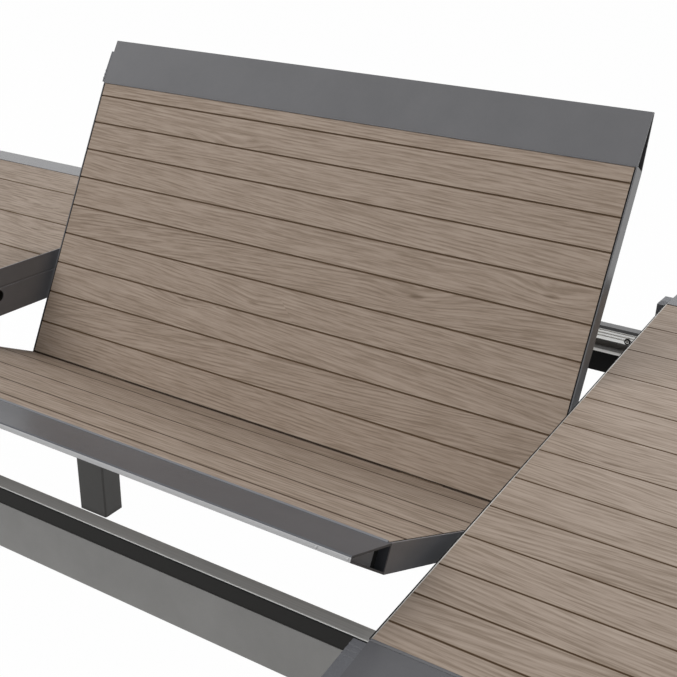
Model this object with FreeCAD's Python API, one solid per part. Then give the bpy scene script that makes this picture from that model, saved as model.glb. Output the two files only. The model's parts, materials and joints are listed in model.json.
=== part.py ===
import FreeCAD, Part
import math
import os

os.makedirs("parts", exist_ok=True)
V = FreeCAD.Vector

# Extendable garden table in millimetres: floor at Z 0, long way along X, far side at +Y.
# A "drop" is a depth below the deck surface. The table stands open with its leaf half folded.

# overall
HEIGHT = 730.0
WIDTH = 996.0
TOP_LENGTH = 800.0
OPEN_GAP = 863.0
FIT = 0.3

# deck boards: the first strip, the next one and how much each after it grows
DECK_THICK = 8.0
GROOVE_WIDTH = 1.8
GROOVE_DEPTH = 1.6
GROOVE_DRAFT = 0.3
RIGHT_STRIP = 26.6
RIGHT_PITCH = 42.0
RIGHT_GROWTH = 4.85
LEFT_STRIP = 101.6
LEFT_PITCH = 140.0
LEFT_GROWTH = -12.0
NEAR_STRIP = 75.0
NEAR_PITCH = 128.0
NEAR_GROWTH = -21.6
FAR_STRIP = 50.0
FAR_PITCH = 47.7
FAR_GROWTH = -0.8
LAST_STRIP = 15.0

# edge profile, the hollow wedge round the boards
PROFILE_WIDTH = 69.4
PROFILE_DROP = 5.15
PROFILE_WALL = 2.0
NOSE_RADIUS = 1.2
LIP_HEIGHT = 5.4
LIP_THICK = 2.5
LIP_BEAD = 1.9
LIP_GROOVE = 0.5
FRAME_DEPTH = 26.5
LEDGE = 28.0

# inner end of a sliding top
SEAL_THICK = 1.7
SEAL_SINK = 0.4
EDGE_SEAL_THICK = 1.2
EDGE_SEAL_HEIGHT = 1.2
TRIM_THICK = 0.9
TRIM_SINK = 0.1
BEAM_THICK = 22.0
BEAM_DEPTH = 72.0
BEAM_WALL = 3.0
BEAM_CREASE = 28.0
BEAM_SIDE_GAP = 10.0
CROSS_DEPTH = 32.0
CROSS_WIDTH = 40.0
CROSS_SHARES = (0.286, 0.661)
SLOT_LENGTH = 30.0
SLOT_WIDTH = 18.0
SLOT_Y = -36.0
SLOT_DROP = 40.0

# plugs in the ends of the edge profiles
TOP_PLUG_OUT = 13.5
LEAF_PLUG_OUT = 7.0
PLUG_IN = 40.0
PLUG_GAP = 1.0
PLUG_START = 3.0
PLUG_END = 52.0
PLUG_RIB = 0.6
PLUG_RIB_PITCH = 6.0
PLUG_RIB_HALF = 1.5

# base frame: legs, aprons and the slide tracks on the aprons
LEG_X = 75.0
LEG_Y = 52.0
LEG_WALL = 3.0
LEG_ROUND = 4.0
LEG_INSET = 109.0
LEG_BACK = 11.0
PAD_HEIGHT = 8.0
PAD_SPIGOT = 22.0
SIDE_OVERHANG = 102.0
APRON_WIDTH = 23.0
APRON_DROP = 113.0
APRON_WALL = 3.0
APRON_LEDGE = 5.0
APRON_ROUND = 2.0
CAP_THICK = 3.0
SLIDE_TOP = 56.0
SLIDE_BOTTOM = 68.0
SLIDE_WALL = 6.0
TRACK_WIDTH = 15.0
TRACK_TOP = 35.0
TRACK_FLANGE = 3.0
TRACK_RIDGE = 2.0
RIDGE_COUNT = 3
RIDGE_PITCH = 4.5
STRIP_THICK = 2.4
TIE_WIDTH = 30.0
TIE_TOP = 78.0
TIE_SPACING = 151.0

# runners of the sliding tops
RUNNER_THICK = 10.0
RUNNER_GAP = 4.0
TONGUE_GAP = 2.0
TONGUE_THICK = 6.0
RUNNER_DROP = 66.0
RUNNER_INSET = 10.0
GLIDE_LENGTH = 40.0
GLIDE_INSET = 63.0
GLIDE_SPACING = 168.0

# folding leaf
LEAF_CLEARANCE = 13.0
CENTRE_GAP = 5.0
NEAR_TILT = 26.56
FAR_TILT = 63.12
PIVOT_SHARE = 0.29508
PIVOT_DROP = 91.5
PIVOT_PIN = 6.0
PIVOT_FIT = 0.05
PIVOT_HEAD = 9.0
PIVOT_HEAD_THICK = 2.4
EYE = 14.0
ARM_THICK = 6.0
ARM_SPAN = 105.0
ARM_LEAN = 30.0
BRACKET_THICK = 10.0
BRACKET_GAP = 1.0
BRACKET_FOOT = 40.0
BRACKET_PLATE = 6.0
BRACKET_TOP = 77.0
BRACKET_BOTTOM = 110.0
END_PLATE = 1.5
END_FLANGE = 18.0
HINGE_RAIL = 20.0
RIB_WIDTH = 30.0
RIB_SHARE = 0.5
TUBE_WALL = 2.5
REST_PAD = 26.0
REST_PAD_CHAMFER = 2.0
HINGE_SHARE = 0.62
HINGE_LENGTH = 60.0
KNUCKLE = 1.9
HINGE_PIN = 1.0
HINGE_FIT = 0.05
HINGE_PLATE = 1.4
HINGE_DEPTH = 16.0

# places that follow from the sizes above; those in Y are distances from the centre line
HALF_GAP = OPEN_GAP / 2
BOARD_HALF = WIDTH / 2 - PROFILE_WIDTH
LEDGE_EDGE = BOARD_HALF - LEDGE
LEDGE_DROP = DECK_THICK + PROFILE_WALL
LIP_FOOT = PROFILE_DROP + LIP_HEIGHT
TOP_SKIN = HALF_GAP + EDGE_SEAL_THICK
TOP_OUT = HALF_GAP + TOP_LENGTH
BOARD_END = TOP_OUT - PROFILE_WIDTH
APRON_OUT = WIDTH / 2 - SIDE_OVERHANG
APRON_IN = APRON_OUT - APRON_WIDTH
APRON_BACK = APRON_OUT - APRON_WALL
SLIDE_BACK = APRON_OUT - SLIDE_WALL
TRACK_IN = APRON_OUT - TRACK_WIDTH
LEG_CENTRE_X = TOP_LENGTH - LEG_INSET
LEG_CENTRE_Y = APRON_OUT - LEG_BACK
BASE_HALF = LEG_CENTRE_X + LEG_X / 2
TIE_X = LEG_CENTRE_X - TIE_SPACING
RUNNER_OUT = TRACK_IN - RUNNER_GAP
RUNNER_IN = RUNNER_OUT - RUNNER_THICK
TONGUE_OUT = SLIDE_BACK - TONGUE_GAP
RUNNER_START = HALF_GAP + BEAM_THICK + RUNNER_GAP
RUNNER_END = BOARD_END - RUNNER_INSET
BEAM_HALF = RUNNER_IN - BEAM_SIDE_GAP
OUTER_GLIDE = BASE_HALF - GLIDE_INSET
GLIDES_X = (OUTER_GLIDE - GLIDE_SPACING, OUTER_GLIDE)
CROSS_X = [HALF_GAP + share * TOP_LENGTH for share in CROSS_SHARES]
LEAF_HALF = HALF_GAP - LEAF_CLEARANCE
PLATE_FACE = LEAF_HALF - END_PLATE
RIBS_X = (-RIB_SHARE * LEAF_HALF, 0.0, RIB_SHARE * LEAF_HALF)
HINGES_X = (-HINGE_SHARE * LEAF_HALF, HINGE_SHARE * LEAF_HALF)
REST_PAD_Y = APRON_OUT - TRACK_WIDTH / 2
PIVOT_Y = PIVOT_SHARE * WIDTH
HINGE_EDGE = CENTRE_GAP / 2


def outline(corners):
    """Closed wire through (a, b) corners; a third number rounds that corner."""
    count = len(corners)
    bends = []
    for i, corner in enumerate(corners):
        here = V(corner[0], corner[1], 0)
        if len(corner) < 3:
            bends.append((here, None, here))
            continue
        before = V(corners[i - 1][0], corners[i - 1][1], 0)
        after = V(corners[(i + 1) % count][0], corners[(i + 1) % count][1], 0)
        back = (before - here).normalize()
        on = (after - here).normalize()
        half = back.getAngle(on) / 2
        reach = corner[2] / math.tan(half)
        crown = (back + on).normalize() * (corner[2] / math.sin(half) - corner[2])
        bends.append((here + back * reach, here + crown, here + on * reach))
    edges = []
    for i, (start, crown, end) in enumerate(bends):
        if crown is not None:
            edges.append(Part.Arc(start, crown, end).toShape())
        following = bends[(i + 1) % count][0]
        if end.distanceToPoint(following) > 1e-6:
            edges.append(Part.LineSegment(end, following).toShape())
    return Part.Wire(edges)


def run_x(corners, x0, x1):
    """Section of (Y, drop) corners run along X."""
    flat = [(c[0], HEIGHT - c[1]) + tuple(c[2:]) for c in corners]
    solid = Part.Face(outline(flat)).extrude(V(0, 0, x1 - x0))
    solid.Placement = FreeCAD.Placement(V(x0, 0, 0), FreeCAD.Rotation(V(1, 1, 1), 120))
    return solid


def run_y(corners, y0, y1):
    """Section of (X, drop) corners run along Y."""
    flat = [(c[0], HEIGHT - c[1]) + tuple(c[2:]) for c in corners]
    solid = Part.Face(outline(flat)).extrude(V(0, 0, y1 - y0))
    solid.Placement = FreeCAD.Placement(V(0, y1, 0), FreeCAD.Rotation(V(1, 0, 0), 90))
    return solid


def rectangle(a0, a1, drop0, drop1):
    return [(a0, drop0), (a1, drop0), (a1, drop1), (a0, drop1)]


def inset(a0, a1, drop0, drop1, wall):
    return rectangle(a0 + wall, a1 - wall, drop0 + wall, drop1 - wall)


def block(x0, x1, y0, y1, drop0, drop1):
    return Part.makeBox(x1 - x0, y1 - y0, drop1 - drop0, V(x0, y0, HEIGHT - drop1))


def rod(radius, x0, x1, y, drop):
    return Part.makeCylinder(radius, x1 - x0, V(x0, y, HEIGHT - drop), V(1, 0, 0))


def other_end(shape):
    return shape.mirror(V(0, 0, 0), V(1, 0, 0))


def other_side(shape):
    return shape.mirror(V(0, 0, 0), V(0, 1, 0))


def both_ends(shape):
    return [shape, other_end(shape)]


def both_sides(shape):
    return [shape, other_side(shape)]


def group(shapes):
    return Part.makeCompound(shapes)


def groove_lines(strip, pitch, growth, width):
    """Groove places across a board: a first strip, then graded strips while a last one is left."""
    lines = [strip]
    while lines[-1] + pitch < width - LAST_STRIP:
        lines.append(lines[-1] + pitch)
        pitch = max(pitch + growth, LAST_STRIP)
    return lines


def grooved_deck(y0, y1, grooves, x0, x1):
    """Board whose upper face carries narrow grooves running along X."""
    corners = [(y0, DECK_THICK), (y0, 0)]
    half = GROOVE_WIDTH / 2
    for groove in sorted(grooves):
        corners += [(groove - half, 0), (groove - half + GROOVE_DRAFT, GROOVE_DEPTH)]
        corners += [(groove + half - GROOVE_DRAFT, GROOVE_DEPTH), (groove + half, 0)]
    corners += [(y1, 0), (y1, DECK_THICK)]
    return run_x(corners, x0, x1)


def bevel_under(v):
    """Drop of the bevel wall's inner face at a distance v outside the board's border."""
    return PROFILE_WALL + PROFILE_DROP * v / PROFILE_WIDTH


def sole_over(v):
    """Drop of the slanted sole's inner face at a distance v outside the board's border."""
    return FRAME_DEPTH - PROFILE_WALL - (FRAME_DEPTH - LIP_FOOT) * v / PROFILE_WIDTH


def profile_section(border):
    """Edge profile outside a board border: bevel, grooved lip, slanted sole and board ledge."""
    nose = border + PROFILE_WIDTH
    bead = PROFILE_DROP + LIP_BEAD
    return [
        (border, 0), (nose, PROFILE_DROP, NOSE_RADIUS),
        (nose, bead), (nose - LIP_GROOVE, bead + LIP_GROOVE),
        (nose - LIP_GROOVE, bead + 2 * LIP_GROOVE), (nose, bead + 3 * LIP_GROOVE),
        (nose, LIP_FOOT), (border, FRAME_DEPTH),
        (border, LEDGE_DROP), (border - LEDGE, LEDGE_DROP), (border - LEDGE, DECK_THICK),
        (border, DECK_THICK),
    ]


def profile_hollow(border):
    web = PROFILE_WALL
    lip = PROFILE_WIDTH - LIP_THICK
    return [(border + web, bevel_under(web)), (border + lip, bevel_under(lip)),
            (border + lip, sole_over(lip)), (border + web, sole_over(web))]


def plan_prism(corners):
    """Prism over an (X, Y) outline, tall enough to trim an edge profile."""
    prism = Part.Face(outline(corners)).extrude(V(0, 0, 2 * FRAME_DEPTH))
    prism.translate(V(0, 0, HEIGHT - 1.5 * FRAME_DEPTH))
    return prism


def under_ledge(shape, x0, x1):
    """Cut a cross member back where the profiles' ledges carry the board."""
    for side in both_sides(block(x0, x1, LEDGE_EDGE, BOARD_HALF, DECK_THICK, LEDGE_DROP)):
        shape = shape.cut(side)
    return shape


def tube_y(x0, x1, y0, y1, drop0, drop1, wall):
    return run_y(rectangle(x0, x1, drop0, drop1), y0, y1).cut(
        run_y(inset(x0, x1, drop0, drop1, wall), y0, y1))


# legs, feet and rails of the fixed base

def leg():
    def post(shrink, z0, z1):
        x = LEG_X / 2 - shrink
        y = LEG_Y / 2 - shrink
        turn = () if shrink else (LEG_ROUND,)
        ring = outline([(-x, -y) + turn, (x, -y) + turn, (x, y) + turn, (-x, y) + turn])
        solid = Part.Face(ring).extrude(V(0, 0, z1 - z0))
        solid.translate(V(LEG_CENTRE_X, LEG_CENTRE_Y, z0))
        return solid
    top = HEIGHT - APRON_DROP
    tube = post(0, PAD_HEIGHT, top).cut(post(LEG_WALL, PAD_HEIGHT, top - 2 * LEG_WALL))
    pad = post(0, 0, PAD_HEIGHT).fuse(post(LEG_WALL + FIT, PAD_HEIGHT, PAD_HEIGHT + PAD_SPIGOT))
    return tube, pad.removeSplitter()


def apron_outside():
    """Apron corners from its foot, up the face and over the slide slot to the ledge."""
    return [
        (APRON_OUT, APRON_DROP, APRON_ROUND), (APRON_OUT, SLIDE_TOP), (SLIDE_BACK, SLIDE_TOP),
        (SLIDE_BACK, SLIDE_BOTTOM), (APRON_IN, SLIDE_BOTTOM),
    ]


def apron():
    """Channel open to the inside, with the ledge that the sliding tops ride on."""
    ledge = SLIDE_BOTTOM + APRON_LEDGE
    back = [(APRON_IN, ledge), (APRON_BACK, ledge), (APRON_BACK, APRON_DROP)]
    return run_x(apron_outside() + back, -BASE_HALF, BASE_HALF)


def apron_cap():
    corners = apron_outside() + [(APRON_IN, APRON_DROP, APRON_ROUND)]
    return run_x(corners, BASE_HALF, BASE_HALF + CAP_THICK)


def track():
    """Slide track on the apron: capping flange over a web ridged on its inner face."""
    web_out = APRON_OUT - TRACK_FLANGE
    flange = TRACK_TOP + TRACK_FLANGE
    corners = [(TRACK_IN, TRACK_TOP), (APRON_OUT, TRACK_TOP, 1.0), (APRON_OUT, flange),
               (web_out, flange), (web_out, SLIDE_TOP), (TRACK_IN, SLIDE_TOP)]
    crest = TRACK_IN - TRACK_RIDGE
    foot = RIDGE_PITCH / 3
    tip = RIDGE_PITCH / 4.5
    for i in range(round(RIDGE_COUNT)):
        ridge = SLIDE_TOP - (i + 1) * RIDGE_PITCH
        corners += [(TRACK_IN, ridge + foot), (crest, ridge + tip)]
        corners += [(crest, ridge - tip), (TRACK_IN, ridge - foot)]
    return run_x(corners, -BASE_HALF, BASE_HALF)


def glide_strip():
    inner = APRON_OUT - TRACK_FLANGE
    section = rectangle(inner, inner + STRIP_THICK, TRACK_TOP + TRACK_FLANGE, SLIDE_TOP)
    return run_x(section, -BASE_HALF, BASE_HALF)


def tie(x):
    return tube_y(x - TIE_WIDTH / 2, x + TIE_WIDTH / 2, -APRON_BACK, APRON_BACK, TIE_TOP, APRON_DROP,
                  APRON_WALL)


def eye_plate(x0, x1, root, reach, hole):
    """Plate from root corners (Y, drop) to a rounded eye round the leaf pivot."""
    low = (-PIVOT_Y + EYE * reach[0], PIVOT_DROP + EYE * reach[1], 0.99 * EYE)
    high = (-PIVOT_Y + EYE * reach[2], PIVOT_DROP + EYE * reach[3], 0.99 * EYE)
    return run_x(root + [low, high], x0, x1).cut(rod(hole, x0, x1, -PIVOT_Y, PIVOT_DROP))


def pivot_bracket():
    x1 = PLATE_FACE - ARM_THICK - BRACKET_GAP
    x0 = x1 - BRACKET_THICK
    root = [(-APRON_BACK, BRACKET_TOP), (-APRON_BACK, BRACKET_BOTTOM)]
    web = eye_plate(x0, x1, root, (1, 1, 1, -1), PIVOT_PIN)
    foot = block(x0, x0 + BRACKET_FOOT, -APRON_BACK, -APRON_BACK + BRACKET_PLATE,
                 BRACKET_TOP, BRACKET_BOTTOM)
    return web.fuse(foot).removeSplitter()


def pivot_pin():
    start = PLATE_FACE - ARM_THICK - BRACKET_GAP - BRACKET_THICK
    shank = rod(PIVOT_PIN, start, PLATE_FACE + FIT, -PIVOT_Y, PIVOT_DROP)
    head = rod(PIVOT_HEAD, PLATE_FACE + FIT, PLATE_FACE + FIT + PIVOT_HEAD_THICK, -PIVOT_Y, PIVOT_DROP)
    return shank.fuse(head)


# one sliding top, drawn at the +X end

def top_side_profile():
    low = LEDGE_EDGE - 1
    high = WIDTH / 2 + 1
    mitre = plan_prism([(TOP_SKIN, low), (BOARD_END + low - BOARD_HALF, low),
                        (BOARD_END + high - BOARD_HALF, high), (TOP_SKIN, high)])
    profile = run_x(profile_section(BOARD_HALF), TOP_SKIN, TOP_OUT + 1)
    return profile.cut(run_x(profile_hollow(BOARD_HALF), TOP_SKIN, TOP_OUT + 1)).common(mitre)


def top_end_profile():
    low = BOARD_END - LEDGE - 1
    high = TOP_OUT + 1
    reach_low = BOARD_HALF + low - BOARD_END
    reach_high = BOARD_HALF + high - BOARD_END
    mitre = plan_prism([(low, -reach_low), (high, -reach_high), (high, reach_high), (low, reach_low)])
    profile = run_y(profile_section(BOARD_END), -WIDTH / 2 - 1, WIDTH / 2 + 1)
    return profile.cut(run_y(profile_hollow(BOARD_END), -WIDTH / 2 - 1, WIDTH / 2 + 1)).common(mitre)


def end_beam():
    """Channel over the inner end, notched over the tracks and slotted for the locating peg."""
    face = HALF_GAP
    back = face + BEAM_THICK
    wall = face + BEAM_WALL
    section = [
        (face, EDGE_SEAL_HEIGHT), (TOP_SKIN, EDGE_SEAL_HEIGHT), (TOP_SKIN, DECK_THICK), (back, DECK_THICK),
        (back, LEDGE_DROP), (wall, LEDGE_DROP), (wall, BEAM_DEPTH - BEAM_WALL),
        (back, BEAM_DEPTH - BEAM_WALL), (back, BEAM_DEPTH), (face, BEAM_DEPTH, 1.5),
        (face, BEAM_CREASE + 1.5), (face + 0.8, BEAM_CREASE + 0.8),
        (face + 0.8, BEAM_CREASE - 0.8), (face, BEAM_CREASE - 1.5),
    ]
    beam = under_ledge(run_y(section, -BOARD_HALF, BOARD_HALF), TOP_SKIN, back)
    for side in both_sides(block(face, back, BEAM_HALF, BOARD_HALF, CROSS_DEPTH, BEAM_DEPTH)):
        beam = beam.cut(side)
    return beam.cut(locating_slot(face, wall))


def locating_slot(x0, x1):
    turn = 0.98 * SLOT_WIDTH / 2
    y0 = SLOT_Y - SLOT_LENGTH / 2
    y1 = SLOT_Y + SLOT_LENGTH / 2
    d0 = SLOT_DROP - SLOT_WIDTH / 2
    d1 = SLOT_DROP + SLOT_WIDTH / 2
    return run_x([(y0, d0, turn), (y1, d0, turn), (y1, d1, turn), (y0, d1, turn)], x0 - 1, x1 + 1)


def cross_rails():
    rails = []
    for x in CROSS_X:
        x0 = x - CROSS_WIDTH / 2
        x1 = x + CROSS_WIDTH / 2
        rail = tube_y(x0, x1, -BOARD_HALF, BOARD_HALF, DECK_THICK, CROSS_DEPTH, TUBE_WALL)
        rails.append(under_ledge(rail, x0, x1))
    return group(rails)


def runner():
    section = [(RUNNER_IN, CROSS_DEPTH), (RUNNER_OUT, CROSS_DEPTH),
               (RUNNER_OUT, RUNNER_DROP - TONGUE_THICK), (TONGUE_OUT, RUNNER_DROP - TONGUE_THICK),
               (TONGUE_OUT, RUNNER_DROP), (RUNNER_IN, RUNNER_DROP)]
    return run_x(section, RUNNER_START, RUNNER_END)


def glides():
    shoes = []
    for x in GLIDES_X:
        shoe = block(x - GLIDE_LENGTH / 2, x + GLIDE_LENGTH / 2, RUNNER_OUT, SLIDE_BACK - FIT,
                     SLIDE_TOP + FIT, SLIDE_BOTTOM - FIT)
        shoes += both_sides(shoe.cut(runner()))
    return group(shoes)


def plug_section(gap, ribs):
    """Wedge filling a profile end, clear of its walls by the gap that the ribs stand up into."""
    def top(v, rise):
        return (BOARD_HALF + v, bevel_under(v) + gap - rise)
    corners = [top(PLUG_START, 0)]
    for i in range(ribs):
        rib = PLUG_START + (i + 1) * PLUG_RIB_PITCH
        corners += [top(rib - PLUG_RIB_HALF, 0), top(rib - PLUG_RIB_HALF + PLUG_RIB, PLUG_RIB)]
        corners += [top(rib + PLUG_RIB_HALF - PLUG_RIB, PLUG_RIB), top(rib + PLUG_RIB_HALF, 0)]
    corners.append(top(PLUG_END, 0))
    for v in (PLUG_END, PLUG_START):
        corners.append((BOARD_HALF + v, sole_over(v) - gap))
    return corners


def plug(end, out):
    """Plug pressed into the profile end at X = end and standing out of it towards -X."""
    root = run_x(plug_section(0, 0), end, end + PLUG_IN)
    return root.fuse(run_x(plug_section(PLUG_GAP, 3), end - out, end))


def top_nodes(grooves):
    board = TOP_SKIN + TRIM_THICK
    side = top_side_profile()
    rail = runner()
    return {
        "deck": grooved_deck(-BOARD_HALF, BOARD_HALF, grooves, board, BOARD_END),
        "edge_near": other_side(side),
        "edge_far": side,
        "edge_end": top_end_profile(),
        "end_seal": block(HALF_GAP, TOP_SKIN, -BOARD_HALF, BOARD_HALF, 0, EDGE_SEAL_HEIGHT),
        "end_trim": block(TOP_SKIN, board, -BOARD_HALF, BOARD_HALF, TRIM_SINK, DECK_THICK),
        "end_beam": end_beam(),
        "cross_rails": cross_rails(),
        "runner_near": other_side(rail),
        "runner_far": rail,
        "glides": glides(),
    }


# one half of the leaf, drawn flat on the +Y side of its centre hinge

def end_frame():
    """Plate across the leaf end with a flange under the deck."""
    plate = block(PLATE_FACE, LEAF_HALF, HINGE_EDGE, BOARD_HALF, 0, FRAME_DEPTH)
    flange = block(PLATE_FACE - END_FLANGE, PLATE_FACE, HINGE_EDGE + HINGE_RAIL, LEDGE_EDGE,
                   DECK_THICK, LEDGE_DROP)
    return plate.fuse(flange).removeSplitter()


def leaf_profile():
    profile = run_x(profile_section(BOARD_HALF), -LEAF_HALF, LEAF_HALF)
    profile = profile.cut(run_x(profile_hollow(BOARD_HALF), -LEAF_HALF, LEAF_HALF))
    for plate in both_ends(block(PLATE_FACE, LEAF_HALF, LEDGE_EDGE, BOARD_HALF, 0, FRAME_DEPTH)):
        profile = profile.cut(plate)
    return profile


def hinge_rail():
    corners = (HINGE_EDGE, HINGE_EDGE + HINGE_RAIL, DECK_THICK, FRAME_DEPTH)
    return run_x(rectangle(*corners), -PLATE_FACE, PLATE_FACE).cut(
        run_x(inset(*corners, TUBE_WALL), -PLATE_FACE, PLATE_FACE))


def leaf_ribs():
    ribs = []
    for x in RIBS_X:
        x0 = x - RIB_WIDTH / 2
        x1 = x + RIB_WIDTH / 2
        rib = tube_y(x0, x1, HINGE_EDGE + HINGE_RAIL, BOARD_HALF, DECK_THICK, FRAME_DEPTH, TUBE_WALL)
        ribs.append(under_ledge(rib, x0, x1))
    return group(ribs)


def rest_pads():
    half = REST_PAD / 2
    foot = half - REST_PAD_CHAMFER
    sole = TRACK_TOP - FIT
    section = [(-half, FRAME_DEPTH), (half, FRAME_DEPTH), (half, sole - REST_PAD_CHAMFER), (foot, sole),
               (-foot, sole), (-half, sole - REST_PAD_CHAMFER)]
    pads = []
    for x in RIBS_X:
        pad = run_y(section, REST_PAD_Y - half / 2, REST_PAD_Y + half / 2)
        pad.translate(V(x, 0, 0))
        pads.append(pad)
    return group(pads)


def hinge_leaf(knuckles, bore):
    """Plate on the hinge edge with its own knuckles, cleared where the other half's turn."""
    leaf = block(-HINGE_LENGTH / 2, HINGE_LENGTH / 2, HINGE_EDGE - HINGE_PLATE, HINGE_EDGE,
                 KNUCKLE + 2 * FIT, HINGE_DEPTH)
    for x0, x1 in knuckles:
        leaf = leaf.fuse(block(x0, x1, HINGE_EDGE - HINGE_PLATE, HINGE_EDGE, 0, HINGE_DEPTH))
        leaf = leaf.fuse(rod(KNUCKLE, x0, x1, 0, 0))
    return leaf.cut(rod(bore, -HINGE_LENGTH, HINGE_LENGTH, 0, 0)).removeSplitter()


def along_hinge(shape):
    copies = []
    for x in HINGES_X:
        copy = shape.copy()
        copy.translate(V(x, 0, 0))
        copies.append(copy)
    return group(copies)


def pivot_arm():
    start = ARM_LEAN - PIVOT_Y
    root = [(start + ARM_SPAN, LEDGE_DROP), (start, LEDGE_DROP)]
    return eye_plate(PLATE_FACE - ARM_THICK, PLATE_FACE, root, (-1.45, 1, 1, 1), PIVOT_PIN + PIVOT_FIT)


def half_leaf_nodes(strip, pitch, growth):
    lines = groove_lines(strip, pitch, growth, BOARD_HALF)
    board = PLATE_FACE - SEAL_THICK
    seal = block(board, PLATE_FACE, HINGE_EDGE, BOARD_HALF, SEAL_SINK, DECK_THICK)
    return {
        "deck": grooved_deck(HINGE_EDGE, BOARD_HALF, lines, -board, board),
        "profile": leaf_profile(),
        "plug": plug(-LEAF_HALF, LEAF_PLUG_OUT),
        "end_frames": group(both_ends(end_frame())),
        "end_seals": group(both_ends(seal)),
        "hinge_rail": hinge_rail(),
        "ribs": leaf_ribs(),
        "rest_pads": rest_pads(),
    }


def tilt_near(shape):
    """Swing the near half about its pivot pins into the half-open stand."""
    return shape.rotated(V(0, -PIVOT_Y, HEIGHT - PIVOT_DROP), V(1, 0, 0), -NEAR_TILT)


def tilt_far(shape):
    """Carry the far half along with the near one, then fold it up about the centre hinge."""
    swing = FreeCAD.Rotation(V(1, 0, 0), -NEAR_TILT)
    pivot = V(0, -PIVOT_Y, HEIGHT - PIVOT_DROP)
    hinge = pivot + swing.multVec(V(0, 0, HEIGHT) - pivot)
    return tilt_near(shape).rotated(hinge, V(1, 0, 0), NEAR_TILT + FAR_TILT)


nodes = {}

tube, pad = leg()
nodes["leg_far_right"] = tube
nodes["leg_far_left"] = other_end(tube)
nodes["leg_near_right"] = other_side(tube)
nodes["leg_near_left"] = other_end(other_side(tube))
nodes["foot_pads"] = group([p for side in both_sides(pad) for p in both_ends(side)])
nodes["apron_far"] = apron()
nodes["apron_near"] = other_side(nodes["apron_far"])
nodes["apron_caps"] = group([c for side in both_sides(apron_cap()) for c in both_ends(side)])
nodes["track_far"] = track()
nodes["track_near"] = other_side(nodes["track_far"])
nodes["glide_strips"] = group(both_sides(glide_strip()))
nodes["end_apron_right"] = tie(LEG_CENTRE_X)
nodes["end_apron_left"] = tie(-LEG_CENTRE_X)
nodes["ties"] = group([tie(TIE_X), tie(-TIE_X)])
nodes["pivot_bracket_right"] = pivot_bracket()
nodes["pivot_bracket_left"] = other_end(nodes["pivot_bracket_right"])
nodes["pivot_pins"] = group(both_ends(pivot_pin()))

right_grooves = groove_lines(RIGHT_STRIP, RIGHT_PITCH, RIGHT_GROWTH, 2 * BOARD_HALF)
for piece, shape in top_nodes([line - BOARD_HALF for line in right_grooves]).items():
    nodes["right_" + piece] = shape
nodes["right_plugs"] = group(both_sides(plug(TOP_SKIN, TOP_PLUG_OUT)))

left_grooves = groove_lines(LEFT_STRIP, LEFT_PITCH, LEFT_GROWTH, 2 * BOARD_HALF)
for piece, shape in top_nodes([BOARD_HALF - line for line in left_grooves]).items():
    nodes["left_" + piece] = other_end(shape)

quarter = HINGE_LENGTH / 4
outer_knuckles = [(-2 * quarter, -quarter), (quarter, 2 * quarter)]
middle_knuckle = [(-quarter + FIT, quarter - FIT)]

near = half_leaf_nodes(NEAR_STRIP, NEAR_PITCH, NEAR_GROWTH)
near = {piece: other_side(shape) for piece, shape in near.items()}
near["hinge_leaves"] = other_side(along_hinge(hinge_leaf(outer_knuckles, HINGE_PIN)))
near["hinge_pins"] = along_hinge(rod(HINGE_PIN, -2 * quarter, 2 * quarter, 0, 0))
near["pivot_arms"] = group(both_ends(pivot_arm()))
for piece, shape in near.items():
    nodes["leaf_near_" + piece] = tilt_near(shape)

far = half_leaf_nodes(FAR_STRIP, FAR_PITCH, FAR_GROWTH)
far["hinge_leaves"] = along_hinge(hinge_leaf(middle_knuckle, HINGE_PIN + HINGE_FIT))
for piece, shape in far.items():
    nodes["leaf_far_" + piece] = tilt_far(shape)

for name, shape in nodes.items():
    shape.exportStep("parts/%s.step" % name)
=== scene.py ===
import json
import math

import bmesh
import bpy
from mathutils import Matrix, Vector


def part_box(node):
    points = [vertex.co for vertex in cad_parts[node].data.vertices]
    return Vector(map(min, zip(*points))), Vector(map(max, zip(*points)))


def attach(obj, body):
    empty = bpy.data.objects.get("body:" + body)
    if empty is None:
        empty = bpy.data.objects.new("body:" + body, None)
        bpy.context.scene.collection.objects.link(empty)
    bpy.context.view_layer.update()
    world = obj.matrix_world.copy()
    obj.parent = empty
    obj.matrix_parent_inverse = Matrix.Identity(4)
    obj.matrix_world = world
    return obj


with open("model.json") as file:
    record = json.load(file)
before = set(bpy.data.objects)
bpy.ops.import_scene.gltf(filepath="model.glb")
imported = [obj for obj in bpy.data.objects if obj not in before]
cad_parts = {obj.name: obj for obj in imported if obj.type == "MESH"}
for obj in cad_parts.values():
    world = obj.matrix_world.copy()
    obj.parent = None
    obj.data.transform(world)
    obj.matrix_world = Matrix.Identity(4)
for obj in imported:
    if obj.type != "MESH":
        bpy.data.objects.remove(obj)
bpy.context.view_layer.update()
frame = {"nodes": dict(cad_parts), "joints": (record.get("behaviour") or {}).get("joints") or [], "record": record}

# Open garden table with its leaf half folded, in metres: grain along X, far side at +Y.
MM = 0.001

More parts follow.
